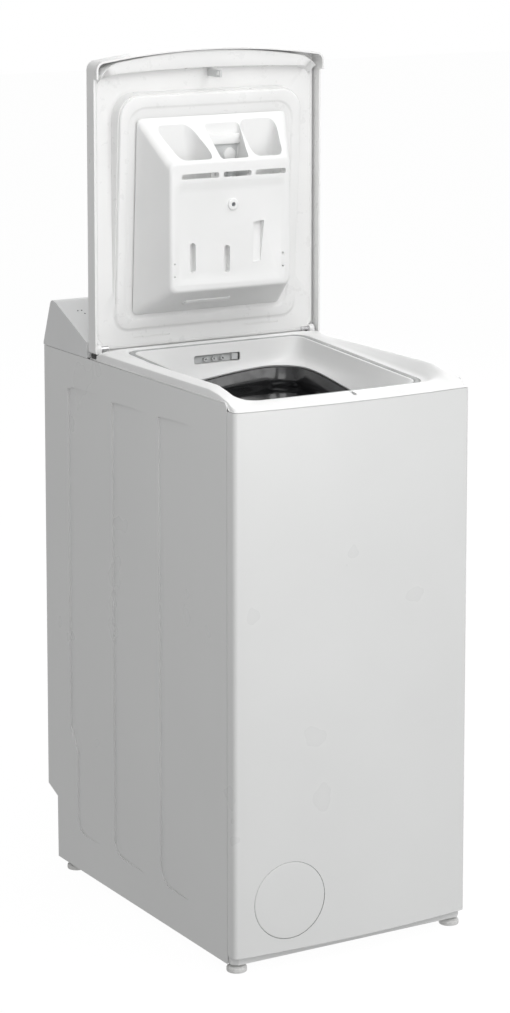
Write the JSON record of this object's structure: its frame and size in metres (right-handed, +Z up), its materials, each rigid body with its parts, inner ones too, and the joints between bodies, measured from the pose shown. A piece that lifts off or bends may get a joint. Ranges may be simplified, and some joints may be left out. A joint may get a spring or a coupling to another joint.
{
  "type": "top load washing machine",
  "caption": "Slim white top-loading washing machine with its lid raised, a detergent dispenser on the lid, a horizontal drum below a black bellows, and a round filter cover low on the front",
  "frame": {"origin": "middle of the footprint, on the floor under the feet", "axes": "+Z up, +X to the right of a person facing the front, the front faces -Y; the lid is raised at rest"},
  "size_m": [0.4, 0.6, 1.302],
  "materials": {
    "enamel": "smooth white stove enamel",
    "galvanised": "galvanised sheet",
    "white_plastic": "semi-gloss white moulding",
    "foot_plastic": "matt off-white",
    "seal_grey": "grey elastomer",
    "bellows_rubber": "glossy black elastomer",
    "hose_rubber": "grey corrugated hose",
    "tub_plastic": "filled polypropylene",
    "steel": "brushed stainless steel",
    "pulley_metal": "die cast",
    "concrete": "cast concrete",
    "dark_plastic": "dark moulding",
    "motor_iron": "painted motor body",
    "belt_rubber": "ribbed belt",
    "board": "circuit board"
  },
  "bodies": {
    "cabinet": {"base_frame": "galvanised", "side_panel_left": "enamel", "side_panel_right": "enamel", "front_panel": "enamel", "rear_panel": "enamel", "top_frame": "white_plastic", "rim_gasket": "seal_grey", "nozzle_manifold": "white_plastic", "console_housing": "enamel", "control_board": "board", "inlet_valve": "foot_plastic", "cable_gland": "dark_plastic", "drain_hose": "hose_rubber", "fill_hose": "hose_rubber", "drain_pump_housing": "tub_plastic", "lid_lock_housing": "foot_plastic", "damper_cylinder_front": "dark_plastic", "damper_cylinder_rear": "dark_plastic", "bellows": "bellows_rubber", "sump_hose": "hose_rubber", "spring_front_left": "steel", "spring_front_right": "steel", "spring_rear_left": "steel", "spring_rear_right": "steel"},
    "lid": {"lid_outer_shell": "white_plastic", "lid_inner_panel": "white_plastic", "lid_latch_hook": "foot_plastic", "lid_hinge_left": "steel", "lid_hinge_right": "steel"},
    "dispenser": {"dispenser_body": "white_plastic"},
    "siphon": {"siphon_cap": "white_plastic"},
    "knob": {"program_knob": "white_plastic"},
    "key_1": {"button_1": "white_plastic"},
    "key_2": {"button_2": "white_plastic"},
    "key_3": {"button_3": "white_plastic"},
    "service_door": {"filter_cover": "enamel"},
    "filter": {"pump_filter": "dark_plastic"},
    "impeller": {"pump_impeller": "dark_plastic"},
    "lock_bolt": {"lid_lock_bolt": "dark_plastic"},
    "leg_front_left": {"foot_front_left": "foot_plastic"},
    "leg_front_right": {"foot_front_right": "foot_plastic"},
    "leg_rear_left": {"foot_rear_left": "foot_plastic"},
    "leg_rear_right": {"foot_rear_right": "foot_plastic"},
    "tub": {"tub_left_half": "tub_plastic", "tub_right_half": "tub_plastic", "bearing_left": "steel", "bearing_right": "steel", "heater_element": "steel", "counterweight_front": "concrete", "counterweight_rear": "concrete", "motor": "motor_iron", "damper_rod_front": "steel", "damper_rod_rear": "steel", "drive_belt": "belt_rubber"},
    "drum": {"drum_shell": "steel", "drum_pulley": "pulley_metal"},
    "rotor": {"motor_pulley": "steel"},
    "flap_front": {"drum_flap_front": "steel"},
    "flap_rear": {"drum_flap_rear": "steel"},
    "flap_catch": {"drum_latch_button": "dark_plastic"}
  },
  "joints": [
    {"name": "lid_hinge", "type": "hinge", "parent": "cabinet", "child": "lid", "pos_m": [0, 0.138, 0.849], "axis": [-1, 0, 0], "range_deg": [-90, 0]},
    {"name": "dispenser_pull", "type": "slide", "parent": "lid", "child": "dispenser", "axis": [0, -1, 0], "range_m": [0, 0.08]},
    {"name": "siphon_lift", "type": "slide", "parent": "dispenser", "child": "siphon", "axis": [0, 0, 1], "range_m": [0, 0.04]},
    {"name": "program_knob_turn", "type": "hinge", "parent": "cabinet", "child": "knob", "pos_m": [0.07, 0.20281, 0.88008], "axis": [0, -0.415, 0.9098], "continuous": true},
    {"name": "button_1_press", "type": "slide", "parent": "cabinet", "child": "key_1", "axis": [0, 0.415, -0.9098], "range_m": [0, 0.002], "stiffness_N_per_m": 300, "springref_m": -0.002},
    {"name": "button_2_press", "type": "slide", "parent": "cabinet", "child": "key_2", "axis": [0, 0.415, -0.9098], "range_m": [0, 0.002], "stiffness_N_per_m": 300, "springref_m": -0.002},
    {"name": "button_3_press", "type": "slide", "parent": "cabinet", "child": "key_3", "axis": [0, 0.415, -0.9098], "range_m": [0, 0.002], "stiffness_N_per_m": 300, "springref_m": -0.002},
    {"name": "filter_cover_hinge", "type": "hinge", "parent": "cabinet", "child": "service_door", "pos_m": [-0.111, -0.2975, 0.043], "axis": [1, 0, 0], "range_deg": [0, 100]},
    {"name": "pump_filter_turn", "type": "hinge", "parent": "cabinet", "child": "filter", "pos_m": [-0.111, -0.25, 0.1], "axis": [0, 1, 0], "range_deg": [0, 120]},
    {"name": "pump_impeller_spin", "type": "hinge", "parent": "cabinet", "child": "impeller", "pos_m": [-0.111, -0.2, 0.1], "axis": [0, 1, 0], "continuous": true},
    {"name": "lid_lock_slide", "type": "slide", "parent": "cabinet", "child": "lock_bolt", "axis": [1, 0, 0], "range_m": [0, 0.012]},
    {"name": "foot_front_left_turn", "type": "hinge", "parent": "cabinet", "child": "leg_front_left", "pos_m": [-0.185, -0.27, 0.02], "axis": [0, 0, 1], "continuous": true},
    {"name": "foot_front_right_turn", "type": "hinge", "parent": "cabinet", "child": "leg_front_right", "pos_m": [0.185, -0.27, 0.02], "axis": [0, 0, 1], "continuous": true},
    {"name": "foot_rear_left_turn", "type": "hinge", "parent": "cabinet", "child": "leg_rear_left", "pos_m": [-0.185, 0.231, 0.02], "axis": [0, 0, 1], "continuous": true},
    {"name": "foot_rear_right_turn", "type": "hinge", "parent": "cabinet", "child": "leg_rear_right", "pos_m": [0.185, 0.231, 0.02], "axis": [0, 0, 1], "continuous": true},
    {"name": "tub_float", "type": "slide", "parent": "cabinet", "child": "tub", "axis": [0, 0, 1], "range_m": [-0.01, 0.01], "stiffness_N_per_m": 16000, "springref_m": 0.02562, "deforming": ["spring_front_left", "spring_front_right", "spring_rear_left", "spring_rear_right", "bellows", "sump_hose"]},
    {"name": "drum_spin", "type": "hinge", "parent": "tub", "child": "drum", "pos_m": [0, -0.03, 0.48], "axis": [1, 0, 0], "range_deg": [-360, 360]},
    {"name": "motor_spin", "type": "hinge", "parent": "tub", "child": "rotor", "pos_m": [0.155, 0.06, 0.15], "axis": [1, 0, 0], "continuous": true},
    {"name": "flap_front_hinge", "type": "hinge", "parent": "drum", "child": "flap_front", "pos_m": [0, -0.12859, 0.66542], "axis": [1, 0, 0], "range_deg": [0, 100]},
    {"name": "flap_rear_hinge", "type": "hinge", "parent": "drum", "child": "flap_rear", "pos_m": [0, 0.06859, 0.66542], "axis": [-1, 0, 0], "range_deg": [0, 78]},
    {"name": "flap_catch_press", "type": "slide", "parent": "flap_front", "child": "flap_catch", "axis": [0, 0, -1], "range_m": [0, 0.004], "stiffness_N_per_m": 300, "springref_m": -0.003}
  ],
  "couplings": [
    {"joint": "motor_spin", "follows": "drum_spin", "ratio": 14}
  ]
}
